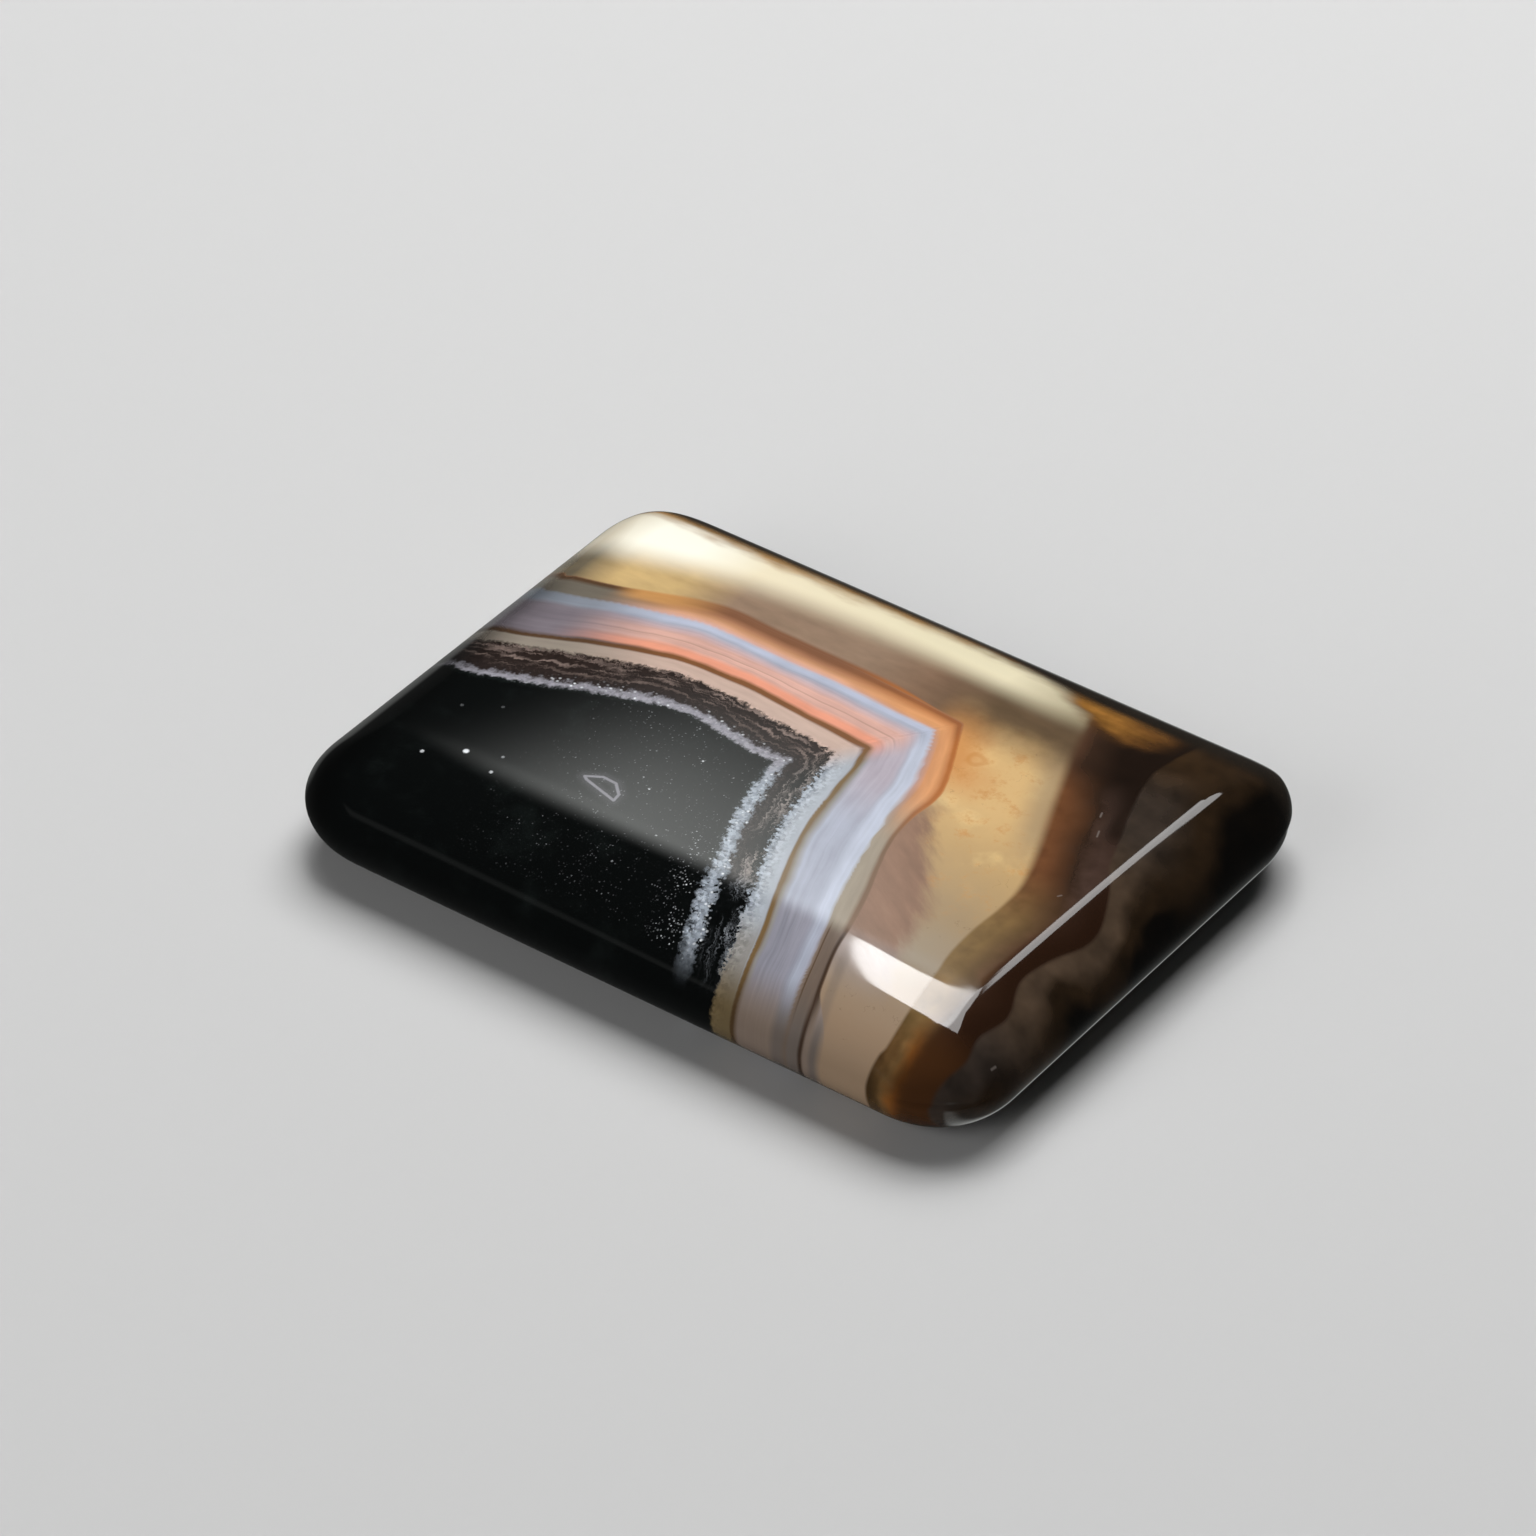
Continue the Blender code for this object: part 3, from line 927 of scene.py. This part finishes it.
def brown_colour(at):
    """The brown end: two waves, each darkening towards the next."""
    brown = first_wave(at)
    darkest = at.mix(at.near_corner, DARK_RED, FRONT_BROWN)
    by_smoke = at.step(at.add(at.smoke_edge, at.cloud), -1.5, -0.2)
    weak = at.window(at.y, -1.5, 0.8, 2.2, 4.0)
    by_smoke = at.times(by_smoke, at.blend(weak, 0.9, 0.35))
    brown = at.mix(by_smoke, brown, at.turn(at.y, 2.0, 4.0, darkest, BROWN_DEEP))
    # Over the crease, down the steep end face, it turns dark red: painted shade
    past_crease = at.less(at.x, at.times(at.y, CREASE_SLANT))
    past_crease = at.step(at.add(past_crease, at.times(at.cloud, 0.6)), 16.6, 17.3)
    brown = at.mix(at.times(past_crease, 0.85), brown, darkest)
    return at.turn(at.smoke_edge, -0.10, 0.14, brown, smoke_colour(at))


def painted_glow_strip(at, under):
    """The cream strip along the back as far as the brown end: a painted glow of light through the back
    edge, dimmer towards both ends.
    """
    cream = at.ramp(
        at.x, (-18.2, CREAM_SHADED), (-16.2, CREAM_BRIGHT), (-13.5, CREAM_BRIGHT), (-10.0, CREAM),
        (1.0, CREAM_DULL), (4.5, CREAM_DULL), (9.6, CREAM_GREY))
    soft = at.slide(at.x, -4.0, 4.0, 1.4, 1.1)
    strip = at.step(at.over(at.cream_edge, soft), -1.0, 0.9)
    return at.mix(at.times(strip, at.step(at.honey_edge, 0.25, -0.25)), under, cream)


def painted_amber_glow(at, under):
    """The mottled amber edge behind the cream strip, a painted glow of light through the back edge, which
    widens where the strip ends.
    """
    start = at.slide(at.x, -7.0, 0.0, 11.85, 12.15)
    start = at.slide(at.x, 5.5, 11.0, start, 9.4)
    start = at.add(start, at.slide(at.x, 10.5, 16.5, 0.0, 1.8))
    gold = at.noise(at.vector(at.times(at.x, 0.35), at.times(at.y, 0.9), 2.0), 1.0, 3.0)
    within = at.add(at.less(at.y, start), at.times(gold, 1.8))
    amber = at.turn(within, 0.2, 1.5, AMBER_DARK, AMBER)
    amber = at.turn(at.x, 5.0, -1.0, amber, AMBER_PALE)
    amber = at.turn(at.add(at.x, at.times(gold, 4.0)), 9.8, 13.6, amber, AMBER_DARK)
    mottle = at.noise(at.vector(at.times(at.x, 0.9), at.times(at.y, 1.5), 5.0), 1.0, 4.0, 0.6)
    amber = at.shade(amber, at.add(gold, at.times(mottle, 1.3)))
    return at.mix(at.times(at.step(within, -0.4, 1.2), at.step(at.x, 14.4, 12.6)), under, amber)


def back_colour(at, under):
    """The back of the stone, all painted light: the cream strip's glow, its amber glow edge and the dark
    rim's painted shade.
    """
    colour = painted_amber_glow(at, painted_glow_strip(at, under))
    # The dark rim along the back edge is painted shade
    rim = at.less(at.y, at.slide(at.x, 2.0, 9.0, 12.55, 11.7))
    dark = at.shade(RIM, at.times(at.cloud, 1.6))
    return at.turn(rim, -0.1, 1.0, colour, dark)


def specks(at):
    """White specks in the black core, thickest by the white line near the front."""
    clumps = at.noise(at.place, 1.1, 3.0)
    by_line = at.times(
        at.window(at.band, -3.1, -1.3, -0.3, 0.0), at.step(at.y, -6.5, -8.5), at.step(clumps, -0.12, 0.10))
    fine = at.spots(at.place, 7.0, 0.058, 0.55)
    coarse = at.spots(at.place, 3.2, 0.080, 0.35)
    dense = at.times(at.larger(fine, coarse), by_line)
    dust = at.times(
        at.spots(at.place, 7.0, 0.058, 0.32), at.slide(clumps, -0.1, 0.2, 0.08, 0.36),
        at.step(at.x, -12.0, -5.0), at.slide(at.y, -7.5, -10.0, 1.0, 0.5))
    sparse = at.times(at.spots(at.place, 1.3, 0.085, 0.16), at.step(at.x, -11.0, -8.0))
    shown = at.larger(dust, at.larger(dense, sparse))
    for x, y, radius, brightness in LONE_SPECKS:
        speck = at.step(at.away(x, y), radius, radius * 0.4)
        shown = at.larger(shown, at.times(speck, brightness))
    in_core = at.times(shown, at.step(at.band, 0.0, -0.3))
    in_line = at.times(
        at.spots(at.place, 4.2, 0.10, 0.60), at.window(at.band, -0.5, -0.25, 0.1, 0.3),
        at.step(at.x, -16.0, -11.0))
    return at.times(at.larger(in_core, in_line), at.step(at.y, -14.2, -13.2))


def marks(at, colour):
    """The flaw and the scratches."""
    sides = [at.from_line(start, end) for start, end in zip(FLAW, FLAW[1:] + FLAW[:1])]
    flaw = sides[0]
    for side in sides[1:]:
        flaw = at.math("MINIMUM", flaw, side)
    line = at.times(at.step(flaw, 0.12, 0.04), 0.75)
    halo = at.times(at.step(flaw, 0.55, 0.05), 0.10)
    colour = at.mix(at.larger(line, halo), colour, WHITE_LILAC)
    for start, end in SCRATCHES:
        scratch = at.step(at.from_line(start, end), 0.07, 0.01)
        colour = at.mix(at.times(scratch, 0.4), colour, SCRATCH)
    return colour


def agate_colour(at):
    """All zones of the agate together."""
    uneven = uneven_band(at)
    soft = at.slide(at.y, -5.0, 2.0, 0.14, 0.45)
    outside = at.turn(at.over(at.honey_edge, soft), -0.6, 1.0, honey_colour(at), brown_colour(at))
    past_bands = at.less(uneven, at.front)
    colour = at.turn(past_bands, 4.02, 4.16, band_colour(at, uneven), outside)
    core = at.turn(at.cloud, 0.0, 0.4, BLACK, BLACK_CLOUD)
    colour = at.turn(uneven, -0.75, -1.05, colour, core)
    # Painted shade: down the black end everything darkens, as far as the cream strip
    end_shade = at.times(
        at.step(at.x, -15.4, -18.4), at.step(at.y, 5.8, 3.4), at.slide(at.y, 0.6, -2.0, -0.6, -0.85))
    colour = at.shade(colour, end_shade)
    colour = back_colour(at, colour)
    colour = at.mix(specks(at), colour, GRAIN_WHITE)
    return marks(at, colour)


def new_material(name):
    """A material and its shader."""
    material = bpy.data.materials.new(name)
    material.use_nodes = True
    return material, material.node_tree.nodes["Principled BSDF"]


def agate_material():
    """Polished banded agate."""
    material, shader = new_material("polished_agate")
    at = Places(material.node_tree)
    at.feed(shader.inputs["Base Color"], agate_colour(at))
    shader.inputs["Roughness"].default_value = STONE_ROUGHNESS
    shader.inputs["IOR"].default_value = STONE_IOR
    return material


def make_floor():
    """A plain pale floor."""
    bpy.ops.mesh.primitive_plane_add(size=FLOOR_SIZE, location=(0, 0, 0))
    floor = bpy.context.object
    floor.name = "floor"
    material, shader = new_material("pale_floor")
    shader.inputs["Base Color"].default_value = (FLOOR_GREY, FLOOR_GREY, FLOOR_GREY, 1.0)
    shader.inputs["Roughness"].default_value = FLOOR_ROUGHNESS
    floor.data.materials.append(material)
    floor.visible_glossy = False


def camera_axes():
    """The photograph's right, up and backward directions."""
    turn, tilt = PHOTO_AZIMUTH, PHOTO_ELEVATION
    right = Vector((math.cos(turn), math.sin(turn), 0.0))
    back = Vector((math.sin(turn) * math.cos(tilt), -math.cos(turn) * math.cos(tilt), math.sin(tilt)))
    return right, back.cross(right), back


def make_camera():
    """The camera at the photograph's place."""
    right, up, back = camera_axes()
    data = bpy.data.cameras.new("camera")
    data.lens = LENS
    data.sensor_width = SENSOR
    data.clip_start = CLIP_START
    camera = bpy.data.objects.new("camera", data)
    place = AIM_RIGHT * right + AIM_UP * up + CAMERA_DISTANCE * back
    turn = Matrix((right, up, back)).transposed()
    camera.matrix_world = Matrix.Translation(place) @ turn.to_4x4()
    bpy.context.scene.collection.objects.link(camera)
    bpy.context.scene.camera = camera


def facing(place, across):
    """Sideways, down and backward, for something at a place that faces the stone."""
    backward = Vector(place).normalized()
    down = backward.cross(Vector(across)).normalized()
    return down.cross(backward), down, backward


def make_light(name, place, size, glow):
    """A soft square light that faces the stone and isn't seen in its polish."""
    turn = Matrix(facing(place, (1, 0, 0))).transposed()
    data = bpy.data.lights.new(name, "AREA")
    data.shape = "SQUARE"
    data.size = size
    data.energy = glow * math.pi * size ** 2
    light = bpy.data.objects.new(name, data)
    light.matrix_world = Matrix.Translation(place) @ turn.to_4x4()
    light.visible_camera = False
    light.visible_glossy = False
    bpy.context.scene.collection.objects.link(light)


def panel_material(name, place, sideways, left_glow, right_glow):
    """A glow that changes from left to right across a panel."""
    material, _ = new_material(name)
    graph = Graph(material.node_tree)
    spot = graph.node("ShaderNodeTexCoord").outputs["Object"]
    offset = graph.node("ShaderNodeVectorMath", spot, tuple(place), operation="SUBTRACT").outputs[0]
    offset = graph.dot(offset, tuple(sideways))
    strength = graph.slide(offset, -PANEL_FADE, PANEL_FADE, left_glow, right_glow)
    glow = graph.node("ShaderNodeEmission", (1, 1, 1, 1), strength)
    output = material.node_tree.nodes["Material Output"]
    graph.feed(output.inputs["Surface"], glow.outputs[0])
    return material


def make_panel(name, place, across, outline, left_glow, right_glow):
    """A flat glowing panel that faces the stone."""
    sideways, down, _ = facing(place, across)
    mesh = bpy.data.meshes.new(name)
    corners = [Vector(place) + (sideways * u + down * v) * MM for u, v in outline]
    mesh.from_pydata(corners, [], [tuple(range(len(corners)))])
    mesh.materials.append(panel_material(name, place, sideways, left_glow, right_glow))
    panel = bpy.data.objects.new(name, mesh)
    panel.visible_camera = False
    panel.visible_shadow = False
    bpy.context.scene.collection.objects.link(panel)


def make_lights():
    """Two soft lights for the whole stone, and the panels that its polish reflects."""
    make_light("overhead", place=(-0.12, 0.30, 0.52), size=0.5, glow=4.4)
    make_light("front_fill", place=(-0.15, -0.50, 0.25), size=0.4, glow=2.6)
    for name, settings in PANELS.items():
        make_panel(name, *settings)


def sheen(graph, sideways, ahead, upward):
    """A glow high behind the stone, with a slanting left edge."""
    lean = graph.add(sideways, graph.times(graph.less(upward, 0.65), 0.6))
    return graph.times(
        graph.window(upward, 0.565, 0.67, 0.68, 0.78), graph.step(lean, -0.115, -0.045),
        graph.step(sideways, 0.08, -0.06), graph.step(ahead, 0.1, 0.3))


def faint_glows(graph, sideways, ahead, upward):
    """Faint glows that the polish shows as thin lines along the lower edges of the stone."""
    # Low on the right, for the brown end
    near = graph.times(graph.window(sideways, 0.04, 0.10, 0.15, 0.30), BROWN_END_GLOW)
    wide = graph.times(graph.window(sideways, 0.05, 0.2, 0.4, 0.8), BROWN_END_HALO)
    brown_end = graph.times(graph.step(upward, -0.3, -0.55), graph.add(near, wide))
    # Low behind, for the black end
    black_end = graph.times(
        graph.window(upward, -0.62, -0.50, -0.25, -0.12), graph.step(sideways, -0.06, -0.12),
        graph.step(ahead, 0.7, 0.85), BLACK_END_GLOW)
    # A thin one on the left, for the front side
    across = graph.dot(graph.vector(sideways, ahead, upward), FRONT_GLOW_TILT)
    front_side = graph.times(
        graph.window(across, -0.02, 0.01, 0.02, 0.05), graph.window(sideways, -0.80, -0.77, -0.72, -0.68),
        FRONT_SIDE_GLOW)
    return graph.add(brown_end, black_end, front_side)


def make_world():
    """Dim light from all round, with the glows that the polish reflects."""
    world = bpy.data.worlds.new("studio")
    world.use_nodes = True
    graph = Graph(world.node_tree)
    direction = graph.node("ShaderNodeTexCoord").outputs["Generated"]
    right, _, _ = camera_axes()
    sideways = graph.dot(direction, right)
    ahead = graph.dot(direction, (-right.y, right.x, 0))
    upward = graph.dot(direction, (0, 0, 1))
    bright = graph.times(sheen(graph, sideways, ahead, upward), SHEEN_GLOW)
    strength = graph.add(bright, faint_glows(graph, sideways, ahead, upward), DIM_GLOW)
    background = world.node_tree.nodes["Background"]
    background.inputs["Color"].default_value = WORLD_COLOUR
    graph.feed(background.inputs["Strength"], strength)
    bpy.context.scene.world = world


make_camera()
make_floor()
make_world()
make_lights()
stone = make_stone()
stone.data.materials.append(agate_material())
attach(stone, "root")
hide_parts("agate_cabochon")

bpy.context.scene.view_settings.view_transform = "Standard"
